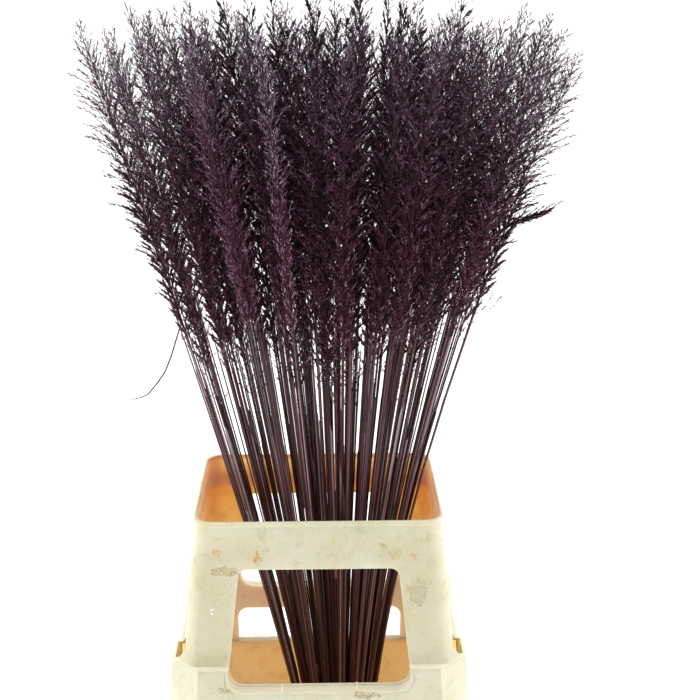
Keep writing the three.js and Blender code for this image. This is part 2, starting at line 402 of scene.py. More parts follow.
@dataclass(frozen=True)
class AgedCream(Polypropylene):
    """Cream polypropylene, aged by use.

    The moulded skin has a soft gloss. Years of water and handling give it a faint
    yellow-green mottle, fine specks, and residue where labels were pulled off. One mark
    among the stains is a painted glint, a tiny bluish-white highlight.
    """

    name: str = "aged_cream_polypropylene"
    roughness: float = 0.42
    wander_scale: float = 0.008
    milky: float = 0.6
    clean: str = "d3cdbb"
    yellowed: str = "c6c09c"
    scuffed: str = "bab492"
    speck: str = "a08c5e"
    crack: str = "a87a48"
    rim_of_stain: str = "7c5a34"
    stains_and_glint: tuple[FrontMark, ...] = (
        FrontMark(-0.093, 0.3147, 0.0125, 0.0050, "a89a68", 0.8, 0.8),
        FrontMark(-0.060, 0.3296, 0.0032, 0.0060, "c4822c", 1.0, 0.1),
        FrontMark(-0.1006, 0.3338, 0.0050, 0.0040, "cc9a50", 0.8, 0.2),
        FrontMark(0.1085, 0.3456, 0.0048, 0.0060, "bdb27c", 0.7, 0.4),
        FrontMark(0.0744, 0.3307, 0.0065, 0.0040, "bba86e", 0.65, 0.6),
        FrontMark(0.0640, 0.3390, 0.0045, 0.0020, "b89054", 0.5, 0.5),
        FrontMark(0.0930, 0.3300, 0.0030, 0.0028, "c09450", 0.7, 0.2),
        FrontMark(0.0208, 0.3465, 0.0090, 0.0080, "c4c298", 0.6, 0.2),
        FrontMark(-0.0500, 0.3480, 0.0080, 0.0040, "c2bc90", 0.5, 0.2),
        FrontMark(0.0967, 0.2925, 0.0092, 0.0143, "a89c78", 0.6, 0.2),
        FrontMark(0.0471, 0.1924, 0.0150, 0.0045, "8e7e50", 0.75, 0.8),
        FrontMark(-0.0921, 0.1986, 0.0065, 0.0033, "958555", 0.7, 0.7),
        # A painted glint: a tiny bluish-white highlight drawn like a stain.
        FrontMark(-0.1050, 0.2743, 0.0016, 0.0028, "f6f8ff", 1.0, 0.0),
    )

    def build(self) -> bpy.types.Material:
        """Makes the material.

        Returns:
            The finish.
        """
        material, shader = self.start()
        tree = material.node_tree
        place = add_node(tree, "ShaderNodeTexCoord").outputs["Object"]
        # Mottle in patches of about 40 mm.
        grain = {"Vector": place, "Scale": 25.0, "Detail": 5.0, "Roughness": 0.62}
        mottle = add_node(tree, "ShaderNodeTexNoise", grain)
        stops = [(0.3, self.clean), (0.72, self.yellowed)]
        colour = add_node(tree, "ShaderNodeValToRGB", {0: mottle}, stops=stops)
        # Short curved scratches that have taken up brown dirt.
        grain = {"Vector": place, "Scale": 75.0, "Detail": 4.0, "Roughness": 0.6}
        line = add_node(tree, "ShaderNodeTexNoise", grain).outputs["Fac"]
        thin = Band(0.5, begin=0.006, full=0.0, most=1.0).add(tree, line)
        here = Patches(33.0, 2.0, 0.5, 0.52, 0.62, 0.5).add(tree, place)
        dirt = add_node(tree, "ShaderNodeMath", {0: thin, 1: here}, operation="MULTIPLY")
        layers = [
            # Greenish scuffed patches of about 15 mm with ragged edges.
            (Patches(62.0, 7.0, 0.72, 0.56, 0.62, 0.55).add(tree, place), self.scuffed),
            # Specks of 1 to 2 mm, and larger ones in drifts.
            (Patches(520.0, 3.0, 0.5, 0.66, 0.74, 0.55).add(tree, place), self.speck),
            (Patches(170.0, 3.0, 0.5, 0.69, 0.76, 0.4).add(tree, place), self.speck),
            (dirt, self.crack),
        ]
        # The stains' outlines wander by some 5 mm.
        grain = {"Vector": place, "Scale": 150.0, "Detail": 6.0, "Roughness": 0.7}
        drift = add_node(tree, "ShaderNodeTexNoise", grain).outputs["Color"]
        half = {0: drift, 1: (0.5, 0.5, 0.5)}
        about = add_node(tree, "ShaderNodeVectorMath", half, operation="SUBTRACT")
        shift = {0: about, 1: (0.022, 0.022, 0.022), 2: place}
        moved = add_node(tree, "ShaderNodeVectorMath", shift, operation="MULTIPLY_ADD")
        # The residue is left in patches of about 3 mm.
        broken = Patches(380.0, 4.0, 0.65, 0.4, 0.58, 1.0, least=0.15).add(tree, place)
        for stain in self.stains_and_glint:
            layers += self.stain_layers(tree, moved, broken, stain)
        for share, tint in layers:
            over = {0: share, 6: colour, 7: linear(tint)}
            colour = add_node(tree, "ShaderNodeMix", over, data_type="RGBA").outputs[2]
        rough = {0: mottle, 3: self.roughness - 0.06, 4: self.roughness + 0.12}
        # The moulded skin's faint ripple, about 4 mm across.
        grain = {"Vector": place, "Scale": 240.0, "Detail": 4.0}
        ripple = add_node(tree, "ShaderNodeTexNoise", grain)
        height = {"Height": ripple, "Strength": 0.12, "Distance": 0.0006}
        feed(
            shader,
            {
                "Base Color": colour,
                "Roughness": add_node(tree, "ShaderNodeMapRange", rough),
                "Normal": add_node(tree, "ShaderNodeBump", height),
            },
        )
        return material

    def stain_layers(
        self, tree: bpy.types.NodeTree, place: bpy.types.Node, broken: bpy.types.Node, stain: FrontMark
    ) -> list[tuple[bpy.types.Node, str]]:
        """Makes the two layers of one ragged mark on the front wall: a stain, and for the one glint a
        painted highlight.

        Args:
            tree: The material's node tree.
            place: Object coordinates, with the outlines' wander.
            broken: How much of the residue is left at each place.
            stain: Where it is and what it is like.

        Returns:
            The share and colour of its area and of its edge.
        """
        middle = {0: place, 1: (stain.x, FRONT_WALL_Y, stain.z)}
        shifted = add_node(tree, "ShaderNodeVectorMath", middle, operation="SUBTRACT")
        size = {0: shifted, 1: (1 / stain.half_x, 1 / STAIN_DEPTH, 1 / stain.half_z)}
        scaled = add_node(tree, "ShaderNodeVectorMath", size, operation="MULTIPLY")
        length = add_node(tree, "ShaderNodeVectorMath", {0: scaled}, operation="LENGTH")
        away = length.outputs["Value"]
        fill = {"Value": away, 1: 1.0, 2: 0.88, 3: 0.0, 4: stain.strength}
        # A thin dark edge where the residue is thickest.
        edge = Band(0.93, begin=0.11, full=0.03, most=stain.outline).add(tree, away)
        parts = (
            (add_node(tree, "ShaderNodeMapRange", fill), stain.colour),
            (edge, self.rim_of_stain),
        )
        return [
            (add_node(tree, "ShaderNodeMath", {0: share, 1: broken}, operation="MULTIPLY"), tint)
            for share, tint in parts
        ]


@dataclass(frozen=True)
class AmberInside(Polypropylene):
    """The same polypropylene inside the container, with tan blotches of dried dye.

    Its colour by height is partly painted light: near white low and in the middle against
    the shade inside, and amber higher up as painted glow through the walls. The band behind
    the neck is browner. The glow is a painted glow, emission that stands in for the light the
    low wall passes on, and the ear glow the same for the bin's ears.
    """

    name: str = "stained_and_glow_painted_inside"
    roughness: float = 0.5
    glow: float = 0.0
    ear_painted_glow: float = 0.0
    blotch: str = "b9783a"
    # Colour by height, partly painted light: near white where the inside lies in shade, amber as
    # painted glow through the walls, browner in the band behind the neck.
    upward: tuple[tuple[float, str], ...] = (
        (0.0, "eed8c8"),
        (0.5, "f0dccc"),
        (0.62, "fae4ce"),
        (0.75, "f2d09a"),
        (0.885, "ecc078"),
        (0.91, "cfa68c"),
        (1.0, "cfa88c"),
    )

    def build(self) -> bpy.types.Material:
        """Makes the material.

        Returns:
            The finish.
        """
        material, shader = self.start()
        tree = material.node_tree
        place = add_node(tree, "ShaderNodeTexCoord").outputs["Object"]
        axes = add_node(tree, "ShaderNodeSeparateXYZ", {0: place})
        height = axes.outputs["Z"]
        level = add_node(tree, "ShaderNodeMapRange", {"Value": height, 1: 0.0, 2: RIM_Z})
        colour = add_node(tree, "ShaderNodeValToRGB", {0: level}, stops=list(self.upward))
        # Blotches of about 15 mm, where dyed water dried.
        mask = Patches(60.0, 6.0, 0.7, 0.5, 0.75, 0.35).add(tree, place)
        over = {0: mask, 6: colour, 7: linear(self.blotch)}
        mixed = add_node(tree, "ShaderNodeMix", over, data_type="RGBA")
        # Painted glow: low down, emission stands in for light that entered the wall higher up.
        low = {"Value": height, 1: 0.235, 2: 0.205, 3: 0.0, 4: self.glow}
        glow = add_node(tree, "ShaderNodeMapRange", low)
        # Painted glow on the bin's ears, which stand clear of the collar: emission stands in for light
        # coming through them.
        beside = Band(0.0, begin=0.134, full=0.138, most=self.ear_painted_glow).add(tree, axes.outputs["X"])
        high = {"Value": height, 1: 0.175, 2: 0.19, 3: 0.0, 4: 1.0}
        above = add_node(tree, "ShaderNodeMapRange", high)
        both = {0: beside, 1: above, 2: glow}
        strength = add_node(tree, "ShaderNodeMath", both, operation="MULTIPLY_ADD")
        feed(shader, {"Base Color": mixed.outputs[2], "Emission Strength": strength})
        shader.inputs["Emission Color"].default_value = linear(PAINTED_GLOW_COLOUR)
        return material


@dataclass(frozen=True)
class PaintedLightLedge(Polypropylene):
    """The same polypropylene on ledges and in pockets, with painted light: a lighter warm colour
    against their shade, and a painted glow in the pockets for the light through the walls.
    """

    name: str = "polypropylene_painted_light"
    roughness: float = 0.45
    tint: str = "f0dcc0"
    painted_pocket_glow: float = 0.4

    def build(self) -> bpy.types.Material:
        """Makes the material.

        Returns:
            The finish.
        """
        material, shader = self.start()
        tree = material.node_tree
        place = add_node(tree, "ShaderNodeTexCoord").outputs["Object"]
        across = add_node(tree, "ShaderNodeSeparateXYZ", {0: place}).outputs["X"]
        # Painted glow: the pockets at the four corners of the rim get the most emission, for the light
        # behind them.
        pockets = Band(0.0, begin=0.14, full=0.15, most=self.painted_pocket_glow, least=0.02)
        feed(shader, {"Emission Strength": pockets.add(tree, across)})
        # A lighter warm colour: painted light against the shade on the ledges.
        shader.inputs["Base Color"].default_value = linear(self.tint)
        shader.inputs["Emission Color"].default_value = linear(PAINTED_GLOW_COLOUR)
        return material


@dataclass(frozen=True)
class DyedPlume(Finish):
    """Dyed spikelets: dry papery husks soaked in a dark aubergine dye.

    The dye is uneven, so husks run from near black to magenta brown, and the dry husk
    has a greyish satin gleam. The map's width is the tint, and its height is how far up
    the plume a husk is. The tint is partly painted light and shade, with the lightest
    grey-mauve tints partly painted highlight, and higher up the plume the colours turn
    greyer blue as painted cool light from above.
    """

    name: str = "dyed_reed_spikelets"
    roughness: float = 0.42
    specular: float = 0.14
    places: tuple[float, ...] = (0.0, 0.35, 0.65, 0.85, 1.0)
    low: tuple[str, ...] = ("1a0a10", "3c1a28", "602f46", "876075", "b39dac")
    high: tuple[str, ...] = ("120b10", "2a1823", "482f3f", "6e5b6c", "a199a8")

    def build(self) -> bpy.types.Material:
        """Makes the material.

        Returns:
            The finish.
        """
        material, shader = self.start()
        tree = material.node_tree
        place = add_node(tree, "ShaderNodeUVMap", uv_map=MAP_NAME)
        axes = add_node(tree, "ShaderNodeSeparateXYZ", {0: place})
        low, high = (
            add_node(
                tree,
                "ShaderNodeValToRGB",
                {0: axes.outputs["X"]},
                stops=list(zip(self.places, colours)),
            )
            for colours in (self.low, self.high)
        )
        # Higher up the plume the colours turn greyer blue: painted cool light from above.
        rise = {"Value": axes.outputs["Y"], 1: 0.65, 2: 0.95}
        upward = add_node(tree, "ShaderNodeMapRange", rise)
        over = {0: upward, 6: low, 7: high}
        colour = add_node(tree, "ShaderNodeMix", over, data_type="RGBA")
        feed(shader, {"Base Color": colour.outputs[2]})
        return material


@dataclass(frozen=True)
class DyedCulm(Finish):
    """Dyed reed culms and sheaths: hard, smooth and glossy, with streaks along them, whose light
    streaks are partly painted highlights.
    """

    name: str = "dyed_reed_culm"
    roughness: float = 0.32
    specular: float = 0.12
    streaks_and_highlights: tuple[tuple[float, str], ...] = (
        (0.0, "0c0506"),
        (0.22, "231014"),
        (0.4, "4a2027"),
        (0.52, "3f3323"),
        (0.66, "62404a"),
        (0.84, "8d7480"),
        (1.0, "bdb0b9"),
    )
    foot: tuple[tuple[float, str], ...] = ((0.08, "f4d9a8"), (0.22, "ffffff"))

    def build(self) -> bpy.types.Material:
        """Makes the material.

        Returns:
            The finish.
        """
        material, shader = self.start()
        tree = material.node_tree
        place = add_node(tree, "ShaderNodeUVMap", uv_map=MAP_NAME)
        axes = add_node(tree, "ShaderNodeSeparateXYZ", {0: place})
        # The dye runs browner towards the foot.
        streaks_and_highlights, low = (
            add_node(tree, "ShaderNodeValToRGB", {0: axes.outputs[axis]}, stops=list(stops))
            for axis, stops in (("X", self.streaks_and_highlights), ("Y", self.foot))
        )
        both = {0: 1.0, 6: streaks_and_highlights, 7: low}
        tinted = add_node(tree, "ShaderNodeMix", both, data_type="RGBA", blend_type="MULTIPLY")
        feed(shader, {"Base Color": tinted.outputs[2]})
        return material


@dataclass(frozen=True)
class PaleFloor(Finish):
    """A plain matt pale studio floor, lit as bright as a light table."""

    name: str = "pale_studio_floor"
    roughness: float = 0.9
    specular: float = 0.1
    colour: str = "f4f4f3"
    glow: float = 0.48

    def build(self) -> bpy.types.Material:
        """Makes the material.

        Returns:
            The finish.
        """
        material, shader = self.start()
        shader.inputs["Base Color"].default_value = linear(self.colour)
        shader.inputs["Emission Color"].default_value = linear("ffffff")
        shader.inputs["Emission Strength"].default_value = self.glow
        return material


# ---------------------------------------------------------------- container


@dataclass
class Wall:
    """The outside of one moulding, to tell how deep under it a point lies.

    Sizes are those of the part's source, in millimetres. The slope is how far each side
    goes out for each millimetre of drop, and the neck is its upper and lower drop and depth.
    """

    rim: float = 365.0
    half: tuple[float, float] = (122.5, 92.0)
    slope: tuple[float, float] = (0.084, 0.1016)
    corner: float = 16.0
    flare_end: float = 168.0
    neck: tuple[float, float, float] = (5.0, 33.0, 1.6)

    def depth(self, points: np.ndarray) -> np.ndarray:
        """How far each point is inside the outside surface.

        Args:
            points: Rows of x, y and z, in millimetres.

        Returns:
            A depth for each point, below 0 outside.
        """
        drop = self.rim - points[:, 2]
        flared = np.minimum(drop, self.flare_end)
        neck = np.where((drop > self.neck[0]) & (drop < self.neck[1]), self.neck[2], 0.0)
        half = np.stack([self.half[i] + self.slope[i] * flared - neck for i in (0, 1)], 1)
        over = np.abs(points[:, :2]) - (half - self.corner)
        outside = np.linalg.norm(np.maximum(over, 0), axis=1)
        return self.corner - outside - np.minimum(over.max(1), 0)


@dataclass
class BinWall(Wall):
    """The bin's outside: a chamfered outline that narrows to its foot."""

    rim_drop: float = 145.0
    half: tuple[float, float] = (147.0, 119.5)
    chamfer: float = 27.8
    ear: float = 31.0
    step: float = 4.0
    flare: float = 0.085
    shelf_drop: float = 245.0
    shelf: float = 4.0
    body_top: tuple[float, float] = (149.0, 121.5)
    foot: tuple[float, float] = (139.0, 111.5)

    def depth(self, points: np.ndarray) -> np.ndarray:
        """How far each point is inside the outside surface.

        Args:
            points: Rows of x, y and z, in millimetres.

        Returns:
            A depth for each point, below 0 outside.
        """
        z = points[:, 2]
        out = self.flare * (self.rim - z - self.rim_drop)
        shelf = self.rim - self.shelf_drop
        share = np.clip(z / (shelf - self.shelf), 0, 1)
        body = z < shelf - self.shelf + 0.5
        x, y = np.abs(points[:, 0]), np.abs(points[:, 1])
        half_x, half_y = (
            np.where(body, self.foot[i] + (self.body_top[i] - self.foot[i]) * share, self.half[i] + out)
            for i in (0, 1)
        )
        middle = y < half_y - self.chamfer - self.ear - self.step / 2
        side = half_x - np.where(middle, self.step, 0) - x
        slant = (half_x + half_y - self.chamfer - x - y) / math.sqrt(2)
        return np.minimum(np.minimum(side, half_y - y), slant)


@dataclass
class Moulding:
    """One moulding of the container, from its CAD node, with its edges rounded.

    Sizes are in millimetres. Faces deeper than inner_depth, above the floor, are inner
    walls, which take the inside finish with its painted light. Faces between the two heights
    of ledges that face outwards by less than facing are ledges and pockets, which take the
    painted-light finish.
    """

    node: str
    piece: str
    wall: Wall
    edge: float = 0.7
    inner_depth: float = 2.1
    rim_taper: float = 0.0
    floor: float = 3.0
    ledges: tuple[float, float] = (140.0, 230.0)
    facing: float = 0.35

    def build(self, frame: dict, finishes: list[bpy.types.Material]) -> bpy.types.Object:
        """Makes the moulding.

        Args:
            finishes: The finishes of the outer skin, the inner walls and the ledges, the last two with
                painted light.

        Returns:
            The finished piece.
        """
        source = frame["nodes"][self.node]
        obj = bpy.data.objects.new(self.piece, source.data.copy())
        bpy.context.scene.collection.objects.link(obj)
        select_only(obj)
        bpy.ops.object.mode_set(mode="EDIT")
        bpy.ops.mesh.select_all(action="SELECT")
        bpy.ops.mesh.remove_doubles(threshold=0.00002)
        bpy.ops.mesh.dissolve_limited(angle_limit=math.radians(0.8))
        bpy.ops.object.mode_set(mode="OBJECT")
        self.thin_rim(obj.data)
        apply_modifier(
            obj,
            "BEVEL",
            width=self.edge * MM,
            segments=2,
            limit_method="ANGLE",
            angle_limit=math.radians(36),
            miter_outer="MITER_ARC",
            use_clamp_overlap=True,
        )
        select_only(obj)
        bpy.ops.object.shade_smooth_by_angle(angle=math.radians(32))
        obj.data.materials.clear()
        for finish in finishes:
            obj.data.materials.append(finish)
        self.sort_faces(obj.data)
        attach(obj, "root")
        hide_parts(self.node)
        return obj

    def thin_rim(self, mesh: bpy.types.Mesh) -> None:
        """Moves the rim's inner edge outwards, so that the wall tapers to its top.

        Args:
            mesh: The moulding's mesh.
        """
        for vertex in mesh.vertices:
            x, y, z = (c / MM for c in vertex.co)
            depth = float(self.wall.depth(np.array([[x, y, z]]))[0])
            if self.rim_taper and z > self.wall.rim - 1 and depth > 3:
                over = np.maximum(np.abs([x, y]) - (np.array(self.wall.half) - self.wall.corner), 0)
                out = over / max(np.linalg.norm(over), 0.001) * np.sign([x, y]) * self.rim_taper
                vertex.co.x += float(out[0]) * MM
                vertex.co.y += float(out[1]) * MM

    def sort_faces(self, mesh: bpy.types.Mesh) -> None:
        """Gives the inner walls their finish, and the ledges and pockets theirs, both with painted
        light.

        Args:
            mesh: The moulding's mesh.
        """
        points = np.zeros(len(mesh.vertices) * 3)
        mesh.vertices.foreach_get("co", points)
        points = points.reshape(-1, 3) / MM
        deep = self.wall.depth(points)
        low, high = self.ledges
        for face in mesh.polygons:
            corners = list(face.vertices)
            z = points[corners, 2]
            inner = bool((deep[corners] > self.inner_depth).all() and (z > self.floor).all())
            out = np.array([face.center.x, face.center.y])
            outwards = float(out @ [face.normal.x, face.normal.y])
            turned = outwards < self.facing * np.linalg.norm(out)
            ledge = turned and (z > low).all() and (z < high).all()
            face.material_index = 1 if inner else 2 if ledge else 0


# ---------------------------------------------------------------- grass


class Fill(Enum):
    """How a branch is filled."""

    FULL = (1.85, 0.6, 5)
    AIRY = (2.1, 0.3, 0)
    SPARSE = (2.4, 0.3, 0)

    def __init__(self, apart: float, core: float, inner: int) -> None:
        """Keeps the filling's numbers by name.

        Args:
            apart: The millimetres between its husks.
            core: The thickness of its core in millimetres.
            inner: How many large dark husks, painted shade deep in the branch, lie close to it.
        """
        self.apart = apart
        self.core = core
        self.inner = inner


class Habit(Enum):
    """How a plume stands."""

    OPEN = (38.0, 1.0, 0.0)
    LAX = (41.0, 1.15, 0.03)
    NARROW = (27.0, 0.5, 0.31)

    def __init__(self, branch: float, spread: float, paler: float) -> None:
        """Keeps the habit's numbers by name.

        Args:
            branch: The length of its longest branch in millimetres.
            spread: How wide its branches spread, as a share of the usual.
            paler: How much paler it is.
        """
        self.branch = branch
        self.spread = spread
        self.paler = paler


@dataclass
class Branch:
    """One branch of a plume: its length in millimetres, how pale it is, and its draws' seed."""

    length: float
    tone: float
    seed: int
    fill: Fill = Fill.FULL


@dataclass(frozen=True)
class Fan:
    """The fan that the stems stand in, by the rule of the part's source, in millimetres.

    A stem's tip and its plume's length are each a base, what is added towards the middle
    of the bunch, and the range of a draw.
    """

    floor: float = 4.0
    height: float = 830.0
    foot_at: float = 23.0
    shift: float = 8.0
    foot_half: tuple[float, float] = (31.0, 26.0)
    top_half: tuple[float, float] = (250.0, 150.0)
    opening: tuple[float, float] = (1.41, 0.24)
    nudge: float = 0.22
    tip: tuple[float, float, float] = (838.0, 22.0, 44.0)
    plume: tuple[float, float, float] = (298.0, 87.0, 70.0)


FAN = Fan()


@dataclass
class Stem:
    """One stem: its place in the fan and the heights of its plume, in millimetres."""

    index: int
    u: float
    v: float
    tip: float
    length: float
    mate: "Stem | None" = None
    foot: tuple[float, float, float, float] = (0.0, 0.0, 0.0, 0.0)

    @property
    def neck(self) -> float:
        """The height of the plume's lowest branch."""
        return self.tip - self.length

    @property
    def rise(self) -> float:
        """How far above the neck the last branch starts: less far on the outer stems."""
        return self.length * (0.98 - 0.07 * math.hypot(self.u, self.v))

    def axis(self, z: np.ndarray) -> np.ndarray:
        """Points of the stem's axis, by the rule of the part's source.

        Args:
            z: Heights in millimetres.

        Returns:
            Rows of x, y and z, in millimetres.
        """
        z = np.atleast_1d(np.asarray(z, float))
        t = np.maximum(z - FAN.floor, 0) / FAN.height
        g = t ** (FAN.opening[0] + FAN.opening[1] * self.u)
        foot_u, foot_v, foot_x, foot_y = self.foot
        low, top = FAN.foot_half, FAN.top_half
        middle = FAN.foot_at - FAN.shift * t
        x = middle + (low[0] * foot_u + foot_x) * (1 - g) + top[0] * self.u * g
        y = (low[1] * foot_v + foot_y) * (1 - g) + top[1] * self.v * g
        return np.stack([x, y, z], 1)


@dataclass
class Bunch:
    """The whole bunch: where each stem stands, and its pieces.

    Lengths are in millimetres. The rings are shares of a culm's height, and of its rachis
    past 1. The leaf's path is how far out and down it goes from where it leaves its stem.
    Each stray branch has its start along the way, its rise in degrees and its length.
    """

    count: int = 104
    foot_z: float = 4.3
    husk: float = 5.5
    branches: tuple[int, int] = (90, 132)
    pale_at: tuple[float, float] = (-0.47, -0.75)
    culm_rings: tuple[float, ...] = (
        *(0.05, 0.16, 0.24, 0.247, 0.256, 0.36, 0.48, 0.56, 0.568, 0.578, 0.7, 0.84, 1.0),
        *(1 + k / 7 for k in range(1, 7)),
    )
    side_rings: tuple[float, ...] = (0.1, 0.25, 0.42, 0.58, 0.72, 0.86, 1.0, 1.5)
    strays_from: float = 636.0
    leaf_from: float = 546.0
    leaf_path: tuple[tuple[float, float], ...] = (
        *((0.0, 0.0), (1.1, 5.6), (5.6, 18.9), (11.1, 36.0), (18.1, 52.9)),
        *((26.2, 65.1), (36.9, 78.3), (44.8, 82.3), (52.4, 84.5), (56.8, 84.5)),
    )
    right_strays: tuple[tuple[float, float, float], ...] = (
        *((0, 24, 30), (5, 20, 34), (12, 19, 36), (20, 18, 36), (29, 17, 35)),
        *((6, 12, 30), (14, 8, 26), (24, 6, 22), (33, 10, 20)),
    )
    left_strays: tuple[tuple[float, float, float], ...] = ((0, 24, 15), (3, 8, 9))
    low_strays: tuple[tuple[float, float, float], ...] = ((0, 52, 26), (10, 44, 26), (20, 36, 20))
    stems: list[Stem] = field(default_factory=list)
    sprays: dict[Fill, list[tuple[Form, np.ndarray, float]]] = field(default_factory=dict)

    def plant(self) -> None:
        """Places the stems and pairs them, by the rule of the part's source."""
        for index in range(self.count):
            radius = math.sqrt((index + 0.5) / self.count)
            nudge = FAN.nudge / math.sqrt(self.count)
            u = radius * math.cos(index * GOLDEN) + nudge * (2 * draw(index, 1) - 1)
            v = radius * math.sin(index * GOLDEN) + nudge * (2 * draw(index, 2) - 1)
            inwards = 1 - radius * radius
            tip, length = (
                base + more * inwards + by_draw * (draw(index, kind) - 0.5)
                for kind, (base, more, by_draw) in ((3, FAN.tip), (4, FAN.plume))
            )
            self.stems.append(Stem(index, u, v, tip, length))
        for stem in reversed(self.stems):
            if stem.mate is None:
                free = [s for s in self.stems if s is not stem and s.mate is None]
                stem.mate = min(free, key=lambda s: math.hypot(s.u - stem.u, s.v - stem.v))
                stem.mate.mate = stem
        for stem in self.stems:
            mate = stem.mate
            gap = math.hypot(stem.u - mate.u, stem.v - mate.v)
            stem.foot = (
                (stem.u + mate.u) / 2,
                (stem.v + mate.v) / 2,
                (stem.u - mate.u) / gap,
                (stem.v - mate.v) / gap,
            )

    # ------------------------------------------------ forms, each modelled once

    def husk_form(self) -> Form:
        """A keeled husk: narrow at its foot, widest a third of the way up, and pointed.

        Returns:
            Its form, one unit long, in which a unit across stands for its width.
        """
        bpy.ops.object.select_all(action="DESELECT")
        bpy.ops.mesh.primitive_cone_add(
            vertices=3, radius1=0.58, radius2=0, depth=1, location=(0, 0, 0.5)
        )
        obj = bpy.context.active_object
        bpy.ops.object.transform_apply(location=True, rotation=True, scale=True)
        points = obj.data.vertices
        base = sorted((p for p in points if p.co.z < 0.5), key=lambda p: -p.co.y)
        base[0].co = Vector((0, 0, 0))
        for side, point in zip((-1, 1), base[1:]):
            point.co = Vector((0.5 * side, -0.45, 0.36))
        return take_mesh(obj)

    def tube(self, sides: int, length: float, ends: str, cuts: Iterable[float]) -> bpy.types.Object:
        """Makes a tube of unit radius that stands on the origin, with rings where it can bend.

        Args:
            sides: How many sides it has.
            length: Its length.
            ends: How its ends are filled, as Blender names it.
            cuts: The heights of its rings.

        Returns:
            The tube, as a pattern to take the mesh of.
        """
        bpy.ops.object.select_all(action="DESELECT")
        bpy.ops.mesh.primitive_cylinder_add(
            vertices=sides, radius=1, depth=length, end_fill_type=ends, location=(0, 0, length / 2)
        )
        obj = bpy.context.active_object
        bpy.ops.object.transform_apply(location=True, rotation=True, scale=True)
        bpy.ops.object.mode_set(mode="EDIT")
        for cut in cuts:
            bpy.ops.mesh.select_all(action="SELECT")
            bpy.ops.mesh.bisect(plane_co=(0, 0, cut), plane_no=(0, 0, 1))
        bpy.ops.object.mode_set(mode="OBJECT")
        return obj

    def culm_form(self, sides: int, cuts: Iterable[float]) -> Form:
        """A culm of unit radius, from 0 to 1, and on as the plume's rachis to 2.

        Args:
            sides: How many sides it has.
            cuts: The heights of its rings.

        Returns:
            Its form.
        """
        return take_mesh(self.tube(sides, 2, "TRIFAN", cuts))

    def sheath_form(self) -> Form:
        """A leaf sheath of unit radius, from 0 to 1, with a thin wall and a slanted mouth.

        Returns:
            Its form.
        """
        obj = self.tube(8, 1, "NOTHING", (0.2, 0.4, 0.6, 0.8, 0.93))
        for point in obj.data.vertices:
            if point.co.z > 0.99:
                point.co.z += 0.06 * point.co.x
        apply_modifier(obj, "SOLIDIFY", thickness=0.12, offset=-1)
        return take_mesh(obj)

    def make_sprays(self) -> None:
        """Makes the plume branches that all plumes share: a thin axis with husks on it."""
        husk = self.husk_form()
        shortest, longest, kinds = 8, 39, 14
        step = (longest - shortest) / (kinds // 2 - 1)
        for fill in Fill:
            self.sprays[fill] = [
                self.spray(husk, kind, shortest + step * (kind // 2), fill) for kind in range(kinds)
            ]

    def spray(self, husk: Form, kind: int, length: float, fill: Fill) -> tuple[Form, np.ndarray, float]:
        """One branch, which leaves the origin along +Z and bows towards +X.

        Args:
            husk: The husk's form.
            kind: The number that its draws start from.
            length: Its length in millimetres.
            fill: How close its husks stand.

        Returns:
            Its form in millimetres, the tint of each point from 0 to 1, and its length.
        """
        seed = 1000 + kind * 211
        points, faces, tints = [], [], []

        def axis(t: float) -> np.ndarray:
            """A point of the branch's axis."""
            bow, sway = 0.15 * length * t * t, 0.03 * length * math.sin(4 * t)
            return np.array([bow, sway, length * t * (1 - 0.06 * t)])

        # The core stands for the closely packed inner husks, so it is thick; its dark tint is painted
        # shade.
        points.append(axis(0))
        for corner in range(3):
            turn = 2 * math.pi * corner / 3
            points.append(axis(0.4) + fill.core * np.array([math.cos(turn), math.sin(turn), 0]))
        points.append(axis(0.9))
        tints.extend([0.08] * 5)
        for corner in range(1, 4):
            after = corner % 3 + 1
            faces += [(0, after, corner), (corner, after, 4)]
        count = round(length / fill.apart)
        for k in range(count + fill.inner):
            inner = k >= count
            t = min(1.0, 0.06 + 0.96 * ((k + draw(seed + k, 1)) / count) ** 0.85)
            lean = math.radians(12 + 38 * draw(seed + k, 3)) * (1.1 - 0.45 * t)
            size = self.husk * (0.7 + 0.6 * draw(seed + k, 4))
            wide = 1.1 * (0.8 + 0.4 * draw(seed + k, 5))
            # The inner husks are large dark blades standing in for the shade deep in the branch:
            # painted shade.
            if inner:
                t = 0.05 + 0.6 * (k - count + draw(seed + k, 1)) / fill.inner
                lean, size, wide = 0.5 * lean, 1.7 * size, 2.1 * wide
            turn = 2 * math.pi * draw(seed + k, 2)
            ahead, side = squared(axis(min(1.0, t + 0.02)) - axis(t - 0.02), turn)
            along = ahead * math.cos(lean) + side * math.sin(lean)
            across = np.cross(along, side)
            across /= np.linalg.norm(across)
            back = np.cross(across, along)
            foot = axis(t) + along * (0.3 + 2.6 * draw(seed + k, 6) * (1 - t))
            frame = np.stack([across * wide, back * wide, along * size])
            first = len(points)
            points.extend(husk.points @ frame + foot)
            faces.extend(tuple(first + i for i in face) for face in husk.faces)
            # Painted light: a husk is darkened at its foot as painted shade and lightened at its tip as
            # painted highlight, and the inner husks are darker still as painted shade.
            bright = (0.3 if inner else 1.0) * draw(seed + k, 7)
            tints.extend(bright * (0.5 + 0.8 * husk.points[:, 2]))
        return Form(np.array(points), faces), np.array(tints), length

    # ------------------------------------------------ pieces

    def habit(self, stem: Stem) -> Habit:
        """Picks a stem's habit: the plume at pale_at is the narrow pale one.

        Args:
            stem: The stem.

        Returns:
            Its plume's habit.
        """
        u, v = self.pale_at
        nearest = min(self.stems, key=lambda s: math.hypot(s.u - u, s.v - v))
        if stem is nearest:
            return Habit.NARROW
        pick = draw(stem.index, 11)
        return Habit.LAX if pick < 0.25 else Habit.NARROW if pick > 0.94 else Habit.OPEN

